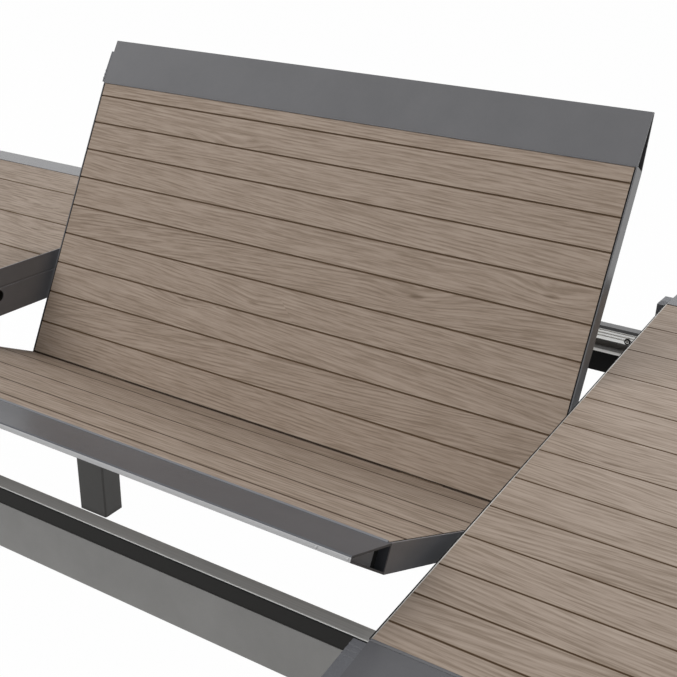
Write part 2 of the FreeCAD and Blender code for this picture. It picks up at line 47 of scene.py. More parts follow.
# places read from the frame
DECK_LOW, DECK_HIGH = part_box("right_deck")
DECK_TOP = DECK_HIGH.z
BOARD_HALF = DECK_HIGH.y
DECK_START = DECK_LOW.x
DECK_END = DECK_HIGH.x
TOP_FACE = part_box("right_end_beam")[0].x
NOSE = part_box("right_edge_far")[1].y
TRACK_LOW, TRACK_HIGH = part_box("track_far")
APRON_LOW, APRON_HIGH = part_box("apron_far")
LEAF_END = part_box("leaf_near_profile")[1].x
LEAF_BOARD_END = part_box("leaf_near_deck")[1].x
BRACKET_LOW, BRACKET_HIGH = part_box("pivot_bracket_right")
HINGE_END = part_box("leaf_near_hinge_pins")[1].x
PLUG_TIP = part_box("right_plugs")[0].x
joints = {joint["name"]: joint for joint in frame["joints"]}
coupling = frame["record"]["behaviour"]["couplings"][0]
HINGE = Vector(joints["leaf_fold"]["pos_m"])
NEAR_TILT = math.radians(-joints["leaf_pivot"]["range_deg"][0])
PUSH_IN = -joints["right_top_slide"]["range_m"][0]
FAR_TILT = NEAR_TILT * (coupling["ratio"] - 1)

# a flat board's own frame (grain, across, height above the deck surface) set into the table's
FLAT = Matrix.Translation((0, 0, DECK_TOP))
NEAR_HALF = Matrix.Translation(HINGE) @ Matrix.Rotation(-NEAR_TILT, 4, "X")
FAR_HALF = Matrix.Translation(HINGE) @ Matrix.Rotation(FAR_TILT, 4, "X")

# each leaf half with its side of the hinge and its frame, and each top with its end of the table
LEAF_HALVES = (("leaf_near", -1, NEAR_HALF), ("leaf_far", 1, FAR_HALF))
TOP_ENDS = (("right_top", 1), ("left_top", -1))


def graded_lines(strip, pitch, growth, count):
    """Groove places across a board, from sizes in millimetres: a first strip, then strips that
    grow by the same amount."""
    lines = [strip]
    for _ in range(count - 1):
        lines.append(lines[-1] + pitch)
        pitch += growth
    return [line * MM for line in lines]


# the boards' grooves: the right top's from its near border, the left top's from its far border and
# the leaf's from its hinge
RIGHT_GROOVES = [line - BOARD_HALF for line in graded_lines(strip=26.6, pitch=42.0, growth=4.85, count=12)]
LEFT_GROOVES = [BOARD_HALF - line for line in graded_lines(strip=101.6, pitch=140.0, growth=-12.0, count=8)]
NEAR_GROOVES = [-line for line in graded_lines(strip=75.0, pitch=128.0, growth=-21.6, count=4)]
FAR_GROOVES = graded_lines(strip=50.0, pitch=47.7, growth=-0.8, count=9)

# camera: place, view direction and level matched to the photograph's 677 x 677 frame
CAMERA_PLACE = Vector((717.9, -964.75, 1244.94)) * MM
CAMERA_VIEW = Vector((-0.43911673, 0.79269718, -0.42285657))
CAMERA_RIGHT = Vector((0.8648945, 0.50036921, 0.03985184))
CAMERA_LENS = 53.153
CAMERA_SHIFT = (-0.04537, 0.03956)


# material tools

def colour(hex_code):
    """sRGB hex as a linear colour."""
    channels = [int(hex_code[i:i + 2], 16) / 255 for i in (1, 3, 5)]
    linear = [c / 12.92 if c <= 0.04045 else ((c + 0.055) / 1.055) ** 2.4 for c in channels]
    return (*linear, 1.0)


def feed(tree, node, sockets):
    """Give each socket of a node a value, another node's first output or a chosen output."""
    for socket, source in sockets.items():
        if isinstance(source, bpy.types.Node):
            source = source.outputs[0]
        if isinstance(source, bpy.types.NodeSocket):
            tree.links.new(source, node.inputs[socket])
        else:
            node.inputs[socket].default_value = source


def add(tree, kind, sockets=None, **settings):
    """Add a node with its settings and feed its sockets."""
    node = tree.nodes.new(kind)
    for name, value in settings.items():
        setattr(node, name, value)
    feed(tree, node, sockets or {})
    return node


def new_material(name):
    """Material, its node tree and its Principled shader."""
    material = bpy.data.materials.new(name)
    material.use_nodes = True
    tree = material.node_tree
    return material, tree, tree.nodes["Principled BSDF"]


def oak_decor(name, board_frame, grooves, line_half, line_hex, shade, coarse):
    """Greyed oak decor printed and embossed on compact board: matt, with close soft streaks that
    lie a little askew in each plank, slow darker bands, a few small knots and dark brown grooves.
    The real streaks are near 1 mm wide and the grooves 1.8 mm. Coarse and line_half draw them wider
    so that they show, most of all on a board seen at a flat angle. Shade makes a board's print
    lighter or darker for the light that falls on that board: painted light and shade."""
    streak = 2.0 * MM * coarse
    streak_length = 52 * MM
    ring_step = 4.4 * MM * coarse
    band = 20 * MM * coarse
    band_length = 420 * MM
    sway = 18 * MM
    sway_cell = (294.1 * MM, 83.33 * MM)
    knot_cell = (230 * MM, 64 * MM)
    knot_swell = 9 * MM
    emboss_depth = 0.2 * MM
    most_skew = 0.07

    # knots: share of cells without one, then its reach and dark eye as shares of its cell
    plain_share = 0.8
    swell_reach = 0.4
    eye_core = 0.01
    eye_edge = 0.07

    # how far apart planks lie in the print, so that no two show the same stretch of it
    plank_jump = 9.0
    streak_slice = 3.7
    band_slice = 5.3

    # what each part of the figure adds to the lightness, and the print's colours by lightness
    streak_weight = 0.27 + 0.035 * (coarse - 1)
    ring_weight = 0.055
    band_weight = 0.18
    plank_weight = 0.05
    knot_weight = 0.24
    base_tone = 0.41 - streak_weight / 2
    print_colours = ((0.15, "#706052"), (0.38, "#8a7a6b"), (0.56, "#9e8e80"), (0.8, "#ae9e90"))

    # place on the board: along the grain and across it
    material, tree, shader = new_material(name)
    to_board = board_frame.inverted()
    place = add(tree, "ShaderNodeTexCoord").outputs["Object"]
    board = add(tree, "ShaderNodeMapping", {
        "Vector": place, "Location": to_board.translation, "Rotation": to_board.to_euler()})
    along, across, _ = add(tree, "ShaderNodeSeparateXYZ", {0: board}).outputs

    # plank number, counted from the grooves passed, and where a groove is
    plank = 0.0
    groove_line = 0.0
    for groove in grooves:
        passed = add(tree, "ShaderNodeMath", {0: across, 1: groove}, operation="GREATER_THAN")
        plank = add(tree, "ShaderNodeMath", {0: plank, 1: passed})
        here = add(tree, "ShaderNodeMath", {0: across, 1: groove, 2: line_half}, operation="COMPARE")
        groove_line = add(tree, "ShaderNodeMath", {0: groove_line, 1: here})
    chance = add(tree, "ShaderNodeTexWhiteNoise", {"W": plank}, noise_dimensions="1D")

    # each plank's grain lies askew by its own small angle, sways slowly and swells round a knot
    skew = add(tree, "ShaderNodeMapRange", {
        "Value": chance.outputs["Value"], "To Min": -most_skew, "To Max": most_skew})
    askew = add(tree, "ShaderNodeMath", {0: along, 1: skew, 2: across}, operation="MULTIPLY_ADD")
    shift = add(tree, "ShaderNodeVectorMath", {0: chance.outputs["Color"], "Scale": plank_jump},
                operation="SCALE")
    lane = add(tree, "ShaderNodeCombineXYZ", {0: along, 1: askew, 2: plank})
    own = add(tree, "ShaderNodeVectorMath", {0: lane, 1: shift})
    slow = add(tree, "ShaderNodeMapping", {
        "Vector": own, "Scale": (1 / sway_cell[0], 1 / sway_cell[1], 1.0)})
    drift = add(tree, "ShaderNodeTexNoise",
                {"Vector": slow, "Scale": 1.0, "Detail": 1.5, "Roughness": 0.45})
    cell = add(tree, "ShaderNodeMapping", {
        "Vector": own, "Scale": (1 / knot_cell[0], 1 / knot_cell[1], 0.0)})
    knots = add(tree, "ShaderNodeTexVoronoi", {"Vector": cell, "Scale": 1.0}, voronoi_dimensions="2D")
    rare = add(tree, "ShaderNodeSeparateXYZ", {0: knots.outputs["Color"]})
    knotty = add(tree, "ShaderNodeMath", {0: rare, 1: plain_share}, operation="GREATER_THAN")
    swell = add(tree, "ShaderNodeMapRange", {
        "Value": knots.outputs["Distance"], "From Max": swell_reach, "To Min": knot_swell, "To Max": 0.0},
        interpolation_type="SMOOTHSTEP")
    bulge = add(tree, "ShaderNodeMath", {0: swell, 1: knotty}, operation="MULTIPLY")
    own_along, own_across, _ = add(tree, "ShaderNodeSeparateXYZ", {0: own}).outputs
    swayed = add(tree, "ShaderNodeMath", {0: drift, 1: sway, 2: own_across}, operation="MULTIPLY_ADD")
    ring = add(tree, "ShaderNodeMath", {0: swayed, 1: bulge})
    grain = add(tree, "ShaderNodeCombineXYZ", {0: own_along, 1: ring, 2: plank})

    # close streaks, growth lines and slow bands follow the swayed grain
    streak_map = add(tree, "ShaderNodeMapping", {
        "Vector": grain, "Scale": (1 / streak_length, 1 / streak, streak_slice)})
    streaks = add(tree, "ShaderNodeTexNoise",
                  {"Vector": streak_map, "Scale": 1.0, "Detail": 3.0, "Roughness": 0.65})
    crisp = add(tree, "ShaderNodeMapRange", {"Value": streaks, "From Min": 0.34, "From Max": 0.66},
                interpolation_type="SMOOTHSTEP")
    ragged = add(tree, "ShaderNodeMath", {0: streaks, 1: 0.5 * ring_step, 2: ring},
                 operation="MULTIPLY_ADD")
    ring_turn = add(tree, "ShaderNodeMath", {0: ragged, 1: 2 * math.pi / ring_step},
                    operation="MULTIPLY")
    rings = add(tree, "ShaderNodeMath", {0: ring_turn}, operation="SINE")
    band_map = add(tree, "ShaderNodeMapping", {
        "Vector": grain, "Scale": (1 / band_length, 1 / band, band_slice)})
    bands = add(tree, "ShaderNodeTexNoise",
                {"Vector": band_map, "Scale": 1.0, "Detail": 2.0, "Roughness": 0.5})
    eye = add(tree, "ShaderNodeMapRange", {
        "Value": knots.outputs["Distance"], "From Min": eye_core, "From Max": eye_edge,
        "To Min": knot_weight, "To Max": 0.0}, interpolation_type="SMOOTHSTEP")
    knot_dark = add(tree, "ShaderNodeMath", {0: eye, 1: knotty}, operation="MULTIPLY")

    # lightness: streaks and growth lines, then bands and the plank's own tone, less the knots
    tone = base_tone
    for figure, weight in ((crisp, streak_weight), (rings, ring_weight), (bands, band_weight),
                           (chance.outputs["Value"], plank_weight)):
        tone = add(tree, "ShaderNodeMath", {0: figure, 1: weight, 2: tone}, operation="MULTIPLY_ADD")
    tone = add(tree, "ShaderNodeMath", {0: tone, 1: knot_dark}, operation="SUBTRACT")
    printed = add(tree, "ShaderNodeValToRGB", {0: tone})
    stops = printed.color_ramp.elements
    while len(stops) < len(print_colours):
        stops.new(0.5)
    for stop, (lightness, hex_code) in zip(stops, print_colours):
        stop.position = lightness
        stop.color = colour(hex_code)

    # the board's painted light and shade, dark grooves, matt gloss and the emboss along the streaks
    print_with_painted_light = add(tree, "ShaderNodeVectorMath", {0: printed, "Scale": shade}, operation="SCALE")
    decor = add(tree, "ShaderNodeMix", {"Factor": groove_line, 6: print_with_painted_light, 7: colour(line_hex)},
                data_type="RGBA")
    matt = add(tree, "ShaderNodeMapRange", {
        "Value": tone, "From Min": 0.2, "From Max": 0.8, "To Min": 0.72, "To Max": 0.58})
    emboss = add(tree, "ShaderNodeBump", {"Height": streaks, "Strength": 0.3, "Distance": emboss_depth})
    feed(tree, shader, {"Base Color": decor.outputs[2], "Roughness": matt, "Normal": emboss,
                        "Specular IOR Level": 0.25})
    return material


def powder_coat(name, hex_code, darker):
    """Polyester powder coat baked on aluminium: an even satin grey with a fine pimpled skin.
    The real grit is near 0.3 mm and is drawn coarser so that it shows."""
    grit = 1.1 * MM
    cloud = 90 * MM
    pimple_height = 0.12 * MM
    pimple_weight = 0.45
    rough = 0.24
    rough_spread = 0.02
    material, tree, shader = new_material(name)
    place = add(tree, "ShaderNodeTexCoord").outputs["Object"]
    pimples = add(tree, "ShaderNodeTexNoise",
                  {"Vector": place, "Scale": 1 / grit, "Detail": 2.0, "Roughness": 0.6})
    clouds = add(tree, "ShaderNodeTexNoise",
                 {"Vector": place, "Scale": 1 / cloud, "Detail": 4.0, "Roughness": 0.65})
    tone = add(tree, "ShaderNodeMath", {0: pimples, 1: pimple_weight, 2: clouds}, operation="MULTIPLY_ADD")
    shade = add(tree, "ShaderNodeMapRange", {"Value": tone, "From Min": 0.45, "From Max": 1.0})
    skin = add(tree, "ShaderNodeMix", {"Factor": shade, 6: colour(darker), 7: colour(hex_code)},
               data_type="RGBA")
    satin = add(tree, "ShaderNodeMapRange", {
        "Value": pimples, "From Min": 0.3, "From Max": 0.7,
        "To Min": rough - rough_spread, "To Max": rough + rough_spread})
    pimpled = add(tree, "ShaderNodeBump", {
        "Height": pimples, "Strength": 0.07, "Distance": pimple_height})
    feed(tree, shader, {"Base Color": skin.outputs[2], "Roughness": satin, "Normal": pimpled,
                        "Specular IOR Level": 0.2})
    return material


def drawn_aluminium(name, hex_code, darker, run, rough, metal):
    """Natural aluminium as it leaves the die: satin metal with long fine draw lines along its run.
    The lines are near 0.2 mm wide and are drawn coarser so that they show."""
    line = 0.9 * MM
    line_length = 160 * MM
    line_depth = 0.05 * MM
    scale = [1 / line_length if axis == run else 1 / line for axis in "XYZ"]
    material, tree, shader = new_material(name)
    place = add(tree, "ShaderNodeTexCoord").outputs["Object"]
    stretched = add(tree, "ShaderNodeMapping", {"Vector": place, "Scale": scale})
    lines = add(tree, "ShaderNodeTexNoise",
                {"Vector": stretched, "Scale": 1.0, "Detail": 3.0, "Roughness": 0.6})
    skin = add(tree, "ShaderNodeMix", {"Factor": lines, 6: colour(darker), 7: colour(hex_code)},
               data_type="RGBA")
    satin = add(tree, "ShaderNodeMapRange", {
        "Value": lines, "From Min": 0.3, "From Max": 0.7, "To Min": rough + 0.1, "To Max": rough - 0.06})
    scratch = add(tree, "ShaderNodeBump", {"Height": lines, "Strength": 0.2, "Distance": line_depth})
    feed(tree, shader, {"Base Color": skin.outputs[2], "Roughness": satin, "Normal": scratch,
                        "Metallic": metal})
    return material


def slide_track(name, dull_dark, dull_light):
    """Drawn aluminium track: its ridged sides stay bright and its head is rubbed to a dull brushed
    grey. The brush lines are near 0.2 mm wide and are drawn coarser so that they show."""
    head_start = TRACK_HIGH.z - 5 * MM
    head_fade = 0.3 * MM
    line = 0.8 * MM
    line_length = 220 * MM
    line_depth = 0.05 * MM
    material, tree, shader = new_material(name)
    place = add(tree, "ShaderNodeTexCoord").outputs["Object"]
    height = add(tree, "ShaderNodeSeparateXYZ", {0: place}).outputs[2]
    rubbed = add(tree, "ShaderNodeMapRange", {
        "Value": height, "From Min": head_start, "From Max": head_start + head_fade})
    stretched = add(tree, "ShaderNodeMapping", {
        "Vector": place, "Scale": (1 / line_length, 1 / line, 1 / line)})
    lines = add(tree, "ShaderNodeTexNoise",
                {"Vector": stretched, "Scale": 1.0, "Detail": 3.0, "Roughness": 0.6})
    bright = add(tree, "ShaderNodeMix", {"Factor": lines, 6: colour("#d6d6d4"), 7: colour("#f2f2f0")},
                 data_type="RGBA")
    dull = add(tree, "ShaderNodeMix", {"Factor": lines, 6: colour(dull_dark), 7: colour(dull_light)},
               data_type="RGBA")
    skin = add(tree, "ShaderNodeMix", {"Factor": rubbed, 6: bright.outputs[2], 7: dull.outputs[2]},
               data_type="RGBA")
    metal = add(tree, "ShaderNodeMapRange", {"Value": rubbed, "To Min": 0.8, "To Max": 0.2})
    satin = add(tree, "ShaderNodeMapRange", {"Value": rubbed, "To Min": 0.28, "To Max": 0.5})
    scratch = add(tree, "ShaderNodeBump", {"Height": lines, "Strength": 0.2, "Distance": line_depth})
    feed(tree, shader, {"Base Color": skin.outputs[2], "Roughness": satin, "Normal": scratch,
                        "Metallic": metal})
    return material


def moulded(name, hex_code, lighter, grain, rough):
    """Rubber or plastic as moulded or extruded: matt, with a fine leathery grain from the tool.
    The grain is near 0.3 mm and is drawn coarser so that it shows."""
    grain_depth = 0.1 * MM
    material, tree, shader = new_material(name)
    place = add(tree, "ShaderNodeTexCoord").outputs["Object"]
    pebbles = add(tree, "ShaderNodeTexVoronoi", {
        "Vector": place, "Scale": 1 / grain, "Smoothness": 0.6}, feature="SMOOTH_F1")
    hollow = pebbles.outputs["Distance"]
    skin = add(tree, "ShaderNodeMix", {"Factor": hollow, 6: colour(hex_code), 7: colour(lighter)},
               data_type="RGBA")
    matt = add(tree, "ShaderNodeMapRange", {
        "Value": hollow, "To Min": rough - 0.05, "To Max": rough + 0.1})
    tool_grain = add(tree, "ShaderNodeBump", {
        "Height": hollow, "Strength": 0.3, "Distance": grain_depth})
    feed(tree, shader, {"Base Color": skin.outputs[2], "Roughness": matt, "Normal": tool_grain,
                        "Specular IOR Level": 0.25})
    return material


def turned_steel(name, hex_code, darker):
    """Steel pins, hinges and screws, turned or ground: satin metal with a close fine grain.
    The grain is near 0.1 mm and is drawn coarser so that it shows."""
    grain = 0.6 * MM
    material, tree, shader = new_material(name)
    place = add(tree, "ShaderNodeTexCoord").outputs["Object"]
    marks = add(tree, "ShaderNodeTexNoise",
                {"Vector": place, "Scale": 1 / grain, "Detail": 2.0, "Roughness": 0.5})
    skin = add(tree, "ShaderNodeMix", {"Factor": marks, 6: colour(darker), 7: colour(hex_code)},
               data_type="RGBA")
    satin = add(tree, "ShaderNodeMapRange", {"Value": marks, "To Min": 0.22, "To Max": 0.38})
    feed(tree, shader, {"Base Color": skin.outputs[2], "Roughness": satin, "Metallic": 1.0})
    return material


# finishes of this table
RUBBER_GRAIN = 1.2 * MM
NYLON_GRAIN = 1.4 * MM
# each board's shade makes its print lighter or darker as painted light and shade
oak_right = oak_decor("Oak_decor_board_right_top", FLAT, RIGHT_GROOVES,
                      line_half=1.3 * MM, line_hex="#65523f", shade=0.9, coarse=1.5)
oak_left = oak_decor("Oak_decor_board_left_top", FLAT, LEFT_GROOVES,
                     line_half=2.6 * MM, line_hex="#55432f", shade=0.8, coarse=2.4)
oak_near = oak_decor("Oak_decor_board_leaf_near", NEAR_HALF, NEAR_GROOVES,
                     line_half=3.3 * MM, line_hex="#4a392b", shade=0.89, coarse=2.8)
oak_far = oak_decor("Oak_decor_board_leaf_far", FAR_HALF, FAR_GROOVES,
                    line_half=1.3 * MM, line_hex="#6d5945", shade=1.04, coarse=1.15)
profile_grey = powder_coat("Powder_coated_aluminium_profile", "#626265", "#5a5a5d")
# a darker copy of the profile coat for the leaf's near profile: painted shade
near_profile_painted_shade_grey = powder_coat("Powder_coated_aluminium_near_profile_painted_shade", "#56585d", "#4e5055")
# a lighter copy of the profile coat for beams, rails, ribs and the near end frames, whose faces the lamps leave
# dark: painted light
beam_painted_light_grey = powder_coat("Powder_coated_aluminium_beam_painted_light", "#85868a", "#7b7c80")
# a lighter copy of the profile coat for the near half's border rim: a painted highlight line
near_rim_painted_highlight_grey = powder_coat("Powder_coated_aluminium_near_rim_painted_highlight", "#7b7c80", "#727377")
base_grey = powder_coat("Powder_coated_aluminium_base", "#8f8e8c", "#82817f")
# a darker copy of the base coat for the legs, for the shade under the table: painted shade
leg_painted_shade_grey = powder_coat("Powder_coated_aluminium_leg_painted_shade", "#565553", "#4e4d4b")
near_track_metal = slide_track("Drawn_aluminium_near_track_worn_on_top", "#989795", "#cccbc8")
# the far track's head takes darker colours than the near one's: painted shade
far_track_painted_shade_metal = slide_track("Drawn_aluminium_far_track_painted_shade_on_top", "#464647", "#5e5e5f")
rail_metal = drawn_aluminium("Drawn_natural_aluminium_runner", "#b4b2ad", "#96948f",
                             run="X", rough=0.34, metal=1.0)
trim_metal = drawn_aluminium("Drawn_bright_aluminium_end_trim", "#b9b7b3", "#a3a19d",
                             run="Y", rough=0.35, metal=0.5)
# near-white strips for the highlights along the track edges and apron ledges: painted highlight
bead_painted_highlight_metal = drawn_aluminium("Drawn_aluminium_painted_highlight_strip", "#efefed", "#dededb",
                             run="X", rough=0.36, metal=0.25)
lip_metal = drawn_aluminium("Drawn_satin_aluminium_lip_strip", "#b4b4b5", "#a2a2a3",
                            run="X", rough=0.4, metal=0.3)
seal_rubber = moulded("Extruded_black_rubber", "#0a0a0a", "#131313", RUBBER_GRAIN, rough=0.85)
grey_rubber = moulded("Extruded_grey_rubber", "#77767a", "#828185", RUBBER_GRAIN, rough=0.75)
hinge_rubber = moulded("Extruded_brown_rubber", "#2b2118", "#352a20", RUBBER_GRAIN, rough=0.8)
black_plastic = moulded("Moulded_black_nylon", "#131211", "#1d1c1a", NYLON_GRAIN, rough=0.7)
foot_plastic = moulded("Moulded_dark_grey_nylon", "#4a4947", "#545351", NYLON_GRAIN, rough=0.6)
grey_plastic = moulded("Moulded_grey_nylon", "#5b5c60", "#67686c", NYLON_GRAIN, rough=0.5)
# a pale grey for the socket floors, lifted for the light the recess doesn't get: painted light
cap_painted_light_plastic = moulded("Moulded_pale_grey_nylon_painted_light", "#96979b", "#a2a3a7", NYLON_GRAIN, rough=0.5)
pin_steel = turned_steel("Turned_stainless_steel", "#b4b3af", "#8e8d89")
hinge_steel = turned_steel("Blackened_steel_hinge", "#3b3128", "#2c241c")


def dress(material, *names):
    """Give CAD nodes their finish."""
    for name in names:
        for slot in frame["nodes"][name].material_slots:
            slot.material = material


dress(oak_right, "right_deck")
dress(oak_left, "left_deck")
dress(oak_near, "leaf_near_deck")
dress(oak_far, "leaf_far_deck")
dress(base_grey, "apron_far", "apron_near", "end_apron_right", "end_apron_left", "ties")
# the legs take the darker copy of the base coat: painted shade
dress(leg_painted_shade_grey, "leg_far_right", "leg_far_left", "leg_near_right", "leg_near_left")
dress(near_track_metal, "track_near")
# the far track takes the darker head colours: painted shade
dress(far_track_painted_shade_metal, "track_far")
dress(profile_grey, "pivot_bracket_right", "pivot_bracket_left", "leaf_near_pivot_arms")
dress(foot_plastic, "foot_pads")
dress(black_plastic, "apron_caps", "glide_strips")
dress(grey_plastic, "right_plugs", "leaf_near_plug", "leaf_far_plug")
# the near profile takes the darker copy of the profile coat as painted shade
dress(near_profile_painted_shade_grey, "leaf_near_profile")
# the near end frames take the lighter beam coat as painted light; the far ones keep the profile coat
dress(beam_painted_light_grey, "leaf_near_end_frames")
dress(profile_grey, "leaf_far_profile", "leaf_far_end_frames")
dress(seal_rubber, "right_end_seal")
dress(grey_rubber, "left_end_seal")
dress(pin_steel, "pivot_pins")
dress(hinge_steel, "leaf_near_hinge_pins", "leaf_near_hinge_leaves", "leaf_far_hinge_leaves")
for top in ("right_", "left_"):
    dress(profile_grey, top + "edge_near", top + "edge_far", top + "edge_end")
    dress(trim_metal, top + "end_trim")
    # end beams and cross rails take the lighter beam coat: painted light
    dress(beam_painted_light_grey, top + "end_beam", top + "cross_rails")
    dress(rail_metal, top + "runner_near", top + "runner_far")
    dress(black_plastic, top + "glides")
for half in ("leaf_near_", "leaf_far_"):
    dress(seal_rubber, half + "end_seals")
    # hinge rails and ribs take the lighter beam coat: painted light
    dress(beam_painted_light_grey, half + "hinge_rail", half + "ribs")
    dress(black_plastic, half + "rest_pads")


# trim and small fasteners

def close_over(shape, loops):
    """Close a solid over loops of points, from the first loop to the last."""
    rows = [[shape.verts.new(point) for point in loop] for loop in loops]
    for one, two in zip(rows, rows[1:]):
        for i in range(len(one)):
            j = (i + 1) % len(one)
            shape.faces.new((one[i], one[j], two[j], two[i]))
    shape.faces.new(rows[0][::-1])
    shape.faces.new(rows[-1])


def run_strip(shape, section, start, end, place):
    """Run a closed (across, height) section along the X of a place."""
    close_over(shape, [[place @ Vector((x, a, h)) for a, h in section] for x in (start, end)])


def turn(shape, rings, place, around=24):
    """Turn (radius, height) rings about the Z of a place; a third number makes that ring six-sided."""
    loops = []
    for radius, height, *flats in rings:
        loop = []
        for i in range(around):
            angle = 2 * math.pi * i / around
            off_flat = (angle % (math.pi / 3)) - math.pi / 6
            reach = radius * math.cos(math.pi / 6) / math.cos(off_flat) if flats else radius
            loop.append(place @ Vector((reach * math.cos(angle), reach * math.sin(angle), height)))
        loops.append(loop)
    close_over(shape, loops)


def piece(name, shape, body, material):
    """Make a trim piece of a mesh, with crisp folds, and let it ride with a body."""
    crisp_fold = math.radians(32)
    bmesh.ops.recalc_face_normals(shape, faces=shape.faces)
    for face in shape.faces:
        face.smooth = True
    for edge in shape.edges:
        edge.smooth = edge.calc_face_angle(0.0) < crisp_fold
    mesh = bpy.data.meshes.new(name)
    shape.to_mesh(mesh)
    shape.free()
    mesh.materials.append(material)
    trim = bpy.data.objects.new(name, mesh)
    bpy.context.collection.objects.link(trim)
    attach(trim, body)


def in_mm(points):
    """Points given in millimetres, in metres; a third number stays as it is."""
    return [(a * MM, h * MM, *rest) for a, h, *rest in points]


def beside(points, edge, sign):
    """Section in millimetres set outside an edge, on the side given by the sign."""
    return [(sign * (edge + a * MM), h * MM) for a, h in points]


# sections (across, height), rings (radius, height) and a cup (inset, depth), in millimetres
RIM = [(0, -0.3), (0, 0.9), (0.3, 1.15), (1.0, 1.05), (2.2, 0.05), (2.2, -0.4)]
LIP_STRIP = [(-0.2, -6.4), (0.2, -6.55), (0.28, -7.2), (0.05, -7.35), (0.05, -7.8), (0.28, -7.95),
             (0.28, -8.8), (0.05, -8.95), (0.05, -9.4), (0.28, -9.55), (0.2, -10.4), (-0.2, -10.5)]
BULB_RADIUS = 0.9
BULB_ANGLES = [i * math.pi / 8 for i in range(16)]
BULB = [(BULB_RADIUS * math.cos(angle), BULB_RADIUS * math.sin(angle)) for angle in BULB_ANGLES]
HINGE_LIP = [(2.45, -0.3), (1.3, -0.15), (0.6, -0.3), (0.2, -0.9), (0.2, -5.4), (0.6, -6.4), (2.45, -6.6)]
TRACK_HIGHLIGHT_BEAD = [(-0.3, -0.1), (0.2, -0.15), (0.3, -0.35), (0.3, -0.6), (0.2, -0.8), (-0.3, -0.85)]
EDGE_SEAL = [(-0.3, -0.95), (0.15, -1.0), (0.3, -1.3), (0.3, -2.7), (0.15, -3.0), (-0.3, -3.05)]
LEDGE_HIGHLIGHT_STRIP = [(0.2, -0.3), (-0.5, -0.4), (-0.6, -2.0), (-0.6, -3.6), (-0.4, -4.6), (0.2, -4.7)]
PAINTED_SHADE_LINING = [(0.2, 0.6), (-1.2, 0.8), (-1.5, 2.0), (-1.5, 36.5), (-1.2, 37.8), (0.2, 38.0)]
PAN_HEAD = [(3.0, 0), (3.0, 0.8), (2.8, 1.3), (2.3, 1.6), (1.3, 1.6, 6), (1.2, 0.6, 6)]
WASHER = [(4.8, 0), (4.8, 0.4), (4.5, 0.6), (3.1, 0.6)]
RIVET = [(1.1, 0), (1.05, 0.25), (0.8, 0.48), (0.4, 0.6), (0.1, 0.62)]
SLOT_CUP = [(1.4, 8.0), (1.4, 0.6), (0.3, 0.6), (0.3, 9.2)]


def border_rims():
    """Raised rim of the edge profile along each board border."""
    corner_lap = 1.5 * MM
    # the near half's rim takes the lighter coat as a painted highlight; the far half's keeps the profile coat
    for (body, sign, half), coat in zip(LEAF_HALVES, (near_rim_painted_highlight_grey, profile_grey)):
        shape = bmesh.new()
        run_strip(shape, beside(RIM, BOARD_HALF, sign), -LEAF_BOARD_END, LEAF_BOARD_END, half)
        piece(body + "_rim", shape, body, coat)
    for body, end in TOP_ENDS:
        shape = bmesh.new()
        place = FLAT @ Matrix.Scale(end, 4, (1, 0, 0))
        for sign in (-1, 1):
            run_strip(shape, beside(RIM, BOARD_HALF, sign), DECK_START, DECK_END + corner_lap, place)
        quarter = place @ Matrix.Rotation(-math.pi / 2, 4, "Z")
        run_strip(shape, beside(RIM, DECK_END, 1), -BOARD_HALF, BOARD_HALF, quarter)
        piece(body + "_rim", shape, body, profile_grey)


def lip_strips():
    """Satin strip with two grooves on each lip of the leaf, riveted near its ends."""
    rivets_in = (2.5 * MM, 30 * MM)
    rivet_out = 0.2 * MM
    rivet_drop = 8.35 * MM
    for body, sign, half in LEAF_HALVES:
        shape = bmesh.new()
        run_strip(shape, beside(LIP_STRIP, NOSE, sign), -LEAF_END, LEAF_END, half)
        outward = Matrix.Rotation(-sign * math.pi / 2, 4, "X")
        for end in (-1, 1):
            for rivet_in in rivets_in:
                spot = (end * (LEAF_END - rivet_in), sign * (NOSE + rivet_out), -rivet_drop)
                turn(shape, in_mm(RIVET), half @ Matrix.Translation(spot) @ outward, around=12)
        piece(body + "_lip_strip", shape, body, lip_metal)


def hinge_seals():
    """Rubber lip on each edge of the leaf's centre joint and a thin bulb on its axis, left out at
    the hinges."""
    hinge_length = 60 * MM
    hinge_start = HINGE_END - hinge_length
    clear = 0.3 * MM
    spans = ((-LEAF_END, -HINGE_END), (-hinge_start, hinge_start), (HINGE_END, LEAF_END))
    for name, body, section, place in (
            ("leaf_hinge_bulb", "leaf_near", in_mm(BULB), Matrix.Translation(HINGE)),
            ("leaf_near_hinge_lip", "leaf_near", beside(HINGE_LIP, 0, -1), NEAR_HALF),
            ("leaf_far_hinge_lip", "leaf_far", beside(HINGE_LIP, 0, 1), FAR_HALF)):
        shape = bmesh.new()
        for start, end in spans:
            run_strip(shape, section, start + clear, end - clear, place)
        piece(name, shape, body, hinge_rubber)


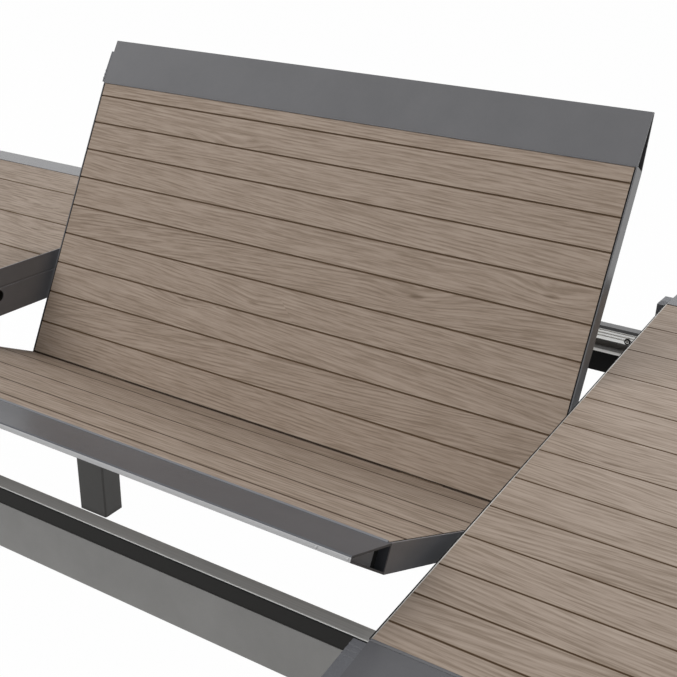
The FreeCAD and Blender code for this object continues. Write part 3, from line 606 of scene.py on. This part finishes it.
def rail_strips():
    """Bright bead over a black rubber strip on each track's outer edge, and a bright strip on each
    apron's ledge: the bead and the strip are painted highlights along those edges."""
    slide_slot_height = 12 * MM
    track_top = Matrix.Translation((0, 0, TRACK_HIGH.z))
    ledge_top = Matrix.Translation((0, 0, TRACK_LOW.z - slide_slot_height))
    beads = bmesh.new()
    seals = bmesh.new()
    ledges = bmesh.new()
    for sign in (-1, 1):
        run_strip(beads, beside(TRACK_HIGHLIGHT_BEAD, TRACK_HIGH.y, sign), TRACK_LOW.x, TRACK_HIGH.x, track_top)
        run_strip(seals, beside(EDGE_SEAL, TRACK_HIGH.y, sign), TRACK_LOW.x, TRACK_HIGH.x, track_top)
        run_strip(ledges, beside(LEDGE_HIGHLIGHT_STRIP, APRON_LOW.y, sign), APRON_LOW.x, APRON_HIGH.x, ledge_top)
    piece("track_painted_highlight_beads", beads, "base", bead_painted_highlight_metal)
    piece("track_edge_seals", seals, "base", seal_rubber)
    piece("ledge_painted_highlight_strips", ledges, "base", bead_painted_highlight_metal)


def rail_screws():
    """Socket screws: those of the tracks, on black washers, and those of the pivot brackets."""
    track_screws = (-398 * MM, -130 * MM, 130 * MM, 398 * MM)
    track_screw_drop = 15.5 * MM
    bracket_screw_shares = (0.27, 0.73)
    bracket_screw_inset = 14 * MM
    bracket_plate = 6 * MM
    screws = bmesh.new()
    washers = bmesh.new()
    for sign in (-1, 1):
        inward = Matrix.Rotation(sign * math.pi / 2, 4, "X")
        for x in track_screws:
            spot = (x, sign * TRACK_LOW.y, TRACK_HIGH.z - track_screw_drop)
            place = Matrix.Translation(spot) @ inward
            turn(washers, in_mm(WASHER), place)
            turn(screws, in_mm(PAN_HEAD), place)
    inward = Matrix.Rotation(-math.pi / 2, 4, "X")
    for end in (-1, 1):
        for share in bracket_screw_shares:
            height = BRACKET_LOW.z + share * (BRACKET_HIGH.z - BRACKET_LOW.z)
            spot = (end * (BRACKET_HIGH.x - bracket_screw_inset), BRACKET_LOW.y + bracket_plate, height)
            turn(screws, in_mm(PAN_HEAD), Matrix.Translation(spot) @ inward)
    piece("rail_screws", screws, "base", pin_steel)
    piece("screw_washers", washers, "base", black_plastic)


def channel_painted_shade_linings():
    """Black rubber strip inside each apron channel, between the ties and the pivot brackets: painted
    shade, a dark sheet where the channel's inside lies in shade.
    """
    clear = 2 * MM
    tie_width = 30 * MM
    apron_wall = 3 * MM
    tie_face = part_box("ties")[1].x - tie_width - clear
    foot_start = BRACKET_LOW.x - clear
    foot_end = BRACKET_HIGH.x + clear
    near_spans = ((-tie_face, -foot_end), (-foot_start, foot_start), (foot_end, tie_face))
    place = Matrix.Translation((0, 0, APRON_LOW.z))
    shape = bmesh.new()
    for sign, spans in ((1, ((-tie_face, tie_face),)), (-1, near_spans)):
        for start, end in spans:
            run_strip(shape, beside(PAINTED_SHADE_LINING, APRON_HIGH.y - apron_wall, sign), start, end, place)
    # the black strip is painted shade
    piece("channel_painted_shade_linings", shape, "base", seal_rubber)


def socket_caps():
    """Scooped floors in the socket ends of the edge profiles: flush at the nose, deep enough
    further in for the plugs that slide into them. A black rubber pad beside the board is painted
    shade deep in the socket, and the pale grey of the rest is painted light on the recessed floor."""
    # the hollow of the edge profile, from the board's border out to its lip
    width = NOSE - BOARD_HALF
    wall = 2 * MM
    roof_fall = 5.15 * MM
    sole_drop = 24.5 * MM
    sole_rise = 15.95 * MM
    painted_shade_pad_end = 10 * MM
    plug_end = 53 * MM
    lip_thick = 2.6 * MM
    lip_start = width - lip_thick

    # how far the floors lie behind the mouth
    flush = 0.6 * MM
    clear = 0.8 * MM
    deep = LEAF_END - PLUG_TIP + PUSH_IN + clear
    thick = 3 * MM
    mouth_back = 1.3 * MM
    left_top_mouth = -(TOP_FACE + mouth_back)

    scoop_steps = 5
    scoop = [plug_end + (lip_start - plug_end) * i / scoop_steps for i in range(scoop_steps + 1)]
    # the pad's black is painted shade and the cap's pale grey is painted light
    floors = (("pad", (wall, painted_shade_pad_end), "seal", seal_rubber),
              ("cap", (painted_shade_pad_end, *scoop), "grey_plastic", cap_painted_light_plastic))
    sockets = [("leaf_near", -1, NEAR_HALF, LEAF_END), ("leaf_far", 1, FAR_HALF, LEAF_END),
               ("left_top", -1, FLAT, left_top_mouth), ("left_top", 1, FLAT, left_top_mouth)]
    for number, (body, sign, place, mouth) in enumerate(sockets):
        for name, stations, slot, material in floors:
            loops = []
            for out in stations:
                ramp = max(0.0, (out - plug_end) / (lip_start - plug_end))
                front = flush + (deep - flush) * (1 - ramp * ramp * (3 - 2 * ramp))
                roof = -wall - roof_fall * out / width
                sole = -sole_drop + sole_rise * out / width
                corners = ((roof, front), (sole, front), (sole, front + thick), (roof, front + thick))
                loops.append([place @ Vector((mouth - depth, sign * (BOARD_HALF + out), height))
                              for height, depth in corners])
            shape = bmesh.new()
            close_over(shape, loops)
            piece("%s_socket_%s_%d" % (body, name, number), shape, body, material)


def painted_shade_slot_cups():
    """Black cup behind the locating slot in each end beam: painted shade, so that the slot reads dark."""
    slot_y = -36 * MM
    slot_z = DECK_TOP - 40 * MM
    slot_radius = 9 * MM
    slot_straight = 6 * MM
    around = 32
    for body, end in TOP_ENDS:
        loops = []
        for inset, depth in in_mm(SLOT_CUP):
            x = end * (TOP_FACE + depth)
            reach = slot_radius - inset
            loop = []
            for i in range(around):
                angle = 2 * math.pi * (i + 0.5) / around
                y = reach * math.cos(angle) + math.copysign(slot_straight, math.cos(angle))
                loop.append((x, slot_y + y, slot_z + reach * math.sin(angle)))
            loops.append(loop)
        shape = bmesh.new()
        close_over(shape, loops)
        # the black cup is painted shade
        piece(body + "_slot_painted_shade_cup", shape, body, black_plastic)


border_rims()
lip_strips()
hinge_seals()
rail_strips()
rail_screws()
channel_painted_shade_linings()
socket_caps()
painted_shade_slot_cups()


# floor, light and camera

def studio_floor():
    """Wide flat floor at the foot of the table."""
    reach = 60.0
    mesh = bpy.data.meshes.new("studio_floor")
    shape = bmesh.new()
    bmesh.ops.create_grid(shape, x_segments=4, y_segments=4, size=reach)
    shape.to_mesh(mesh)
    shape.free()
    floor = bpy.data.objects.new("studio_floor", mesh)
    bpy.context.collection.objects.link(floor)
    return floor


def seen_directly(tree):
    """1 for rays from the camera and for reflections and refractions of what it sees."""
    path = add(tree, "ShaderNodeLightPath")
    mirror = add(tree, "ShaderNodeMath", {
        0: path.outputs["Is Glossy Ray"], 1: path.outputs["Is Transmission Ray"]}, operation="MAXIMUM")
    return add(tree, "ShaderNodeMath", {0: path.outputs["Is Camera Ray"], 1: mirror}, operation="MAXIMUM")


def pale_floor():
    """Matt white studio paper: it shows nearly white and keeps a soft part of the shadow."""
    whiteness = 0.985
    material = bpy.data.materials.new("White_studio_paper")
    material.use_nodes = True
    tree = material.node_tree
    tree.nodes.clear()
    paper = add(tree, "ShaderNodeBsdfDiffuse", {"Color": colour("#e9e9e9")})
    white = add(tree, "ShaderNodeEmission", {"Color": colour("#ffffff"), "Strength": 1.0})
    share = add(tree, "ShaderNodeMath", {0: seen_directly(tree), 1: whiteness}, operation="MULTIPLY")
    mixed = add(tree, "ShaderNodeMixShader", {0: share, 1: paper, 2: white})
    add(tree, "ShaderNodeOutputMaterial", {"Surface": mixed})
    return material


def studio_light():
    """White surroundings that light the table softly, with a large softbox from the near left and
    a small one from behind; each has a place and side in metres and a power in watts."""
    ambient = 0.26
    softboxes = (("key_softbox", (-3.4, -3.4, 7.0), 8.4, 560.0),
                 ("back_softbox", (0.4, 1.5, 2.1), 1.0, 17.0))
    world = bpy.data.worlds.new("white_studio")
    world.use_nodes = True
    tree = world.node_tree
    tree.nodes.clear()
    level = add(tree, "ShaderNodeMapRange", {
        "Value": seen_directly(tree), "To Min": ambient, "To Max": 1.0})
    glow = add(tree, "ShaderNodeBackground", {"Color": colour("#ffffff"), "Strength": level})
    add(tree, "ShaderNodeOutputWorld", {"Surface": glow})
    bpy.context.scene.world = world
    for name, place, side, power in softboxes:
        lamp = bpy.data.lights.new(name, "AREA")
        lamp.size = side
        lamp.energy = power
        softbox = bpy.data.objects.new(name, lamp)
        softbox.location = place
        aim = Vector((0, 0, DECK_TOP)) - Vector(place)
        softbox.rotation_euler = aim.to_track_quat("-Z", "Y").to_euler()
        bpy.context.collection.objects.link(softbox)


def photo_camera():
    """Camera at the photograph's viewing place, direction and level."""
    camera = bpy.data.cameras.new("photo_camera")
    camera.lens = CAMERA_LENS
    camera.shift_x, camera.shift_y = CAMERA_SHIFT
    holder = bpy.data.objects.new("photo_camera", camera)
    up = CAMERA_RIGHT.cross(CAMERA_VIEW)
    facing = Matrix((CAMERA_RIGHT, up, -CAMERA_VIEW)).transposed()
    holder.matrix_world = Matrix.Translation(CAMERA_PLACE) @ facing.to_4x4()
    bpy.context.collection.objects.link(holder)
    bpy.context.scene.camera = holder


floor = studio_floor()
floor.data.materials.append(pale_floor())
studio_light()
photo_camera()
bpy.context.scene.view_settings.view_transform = "Standard"
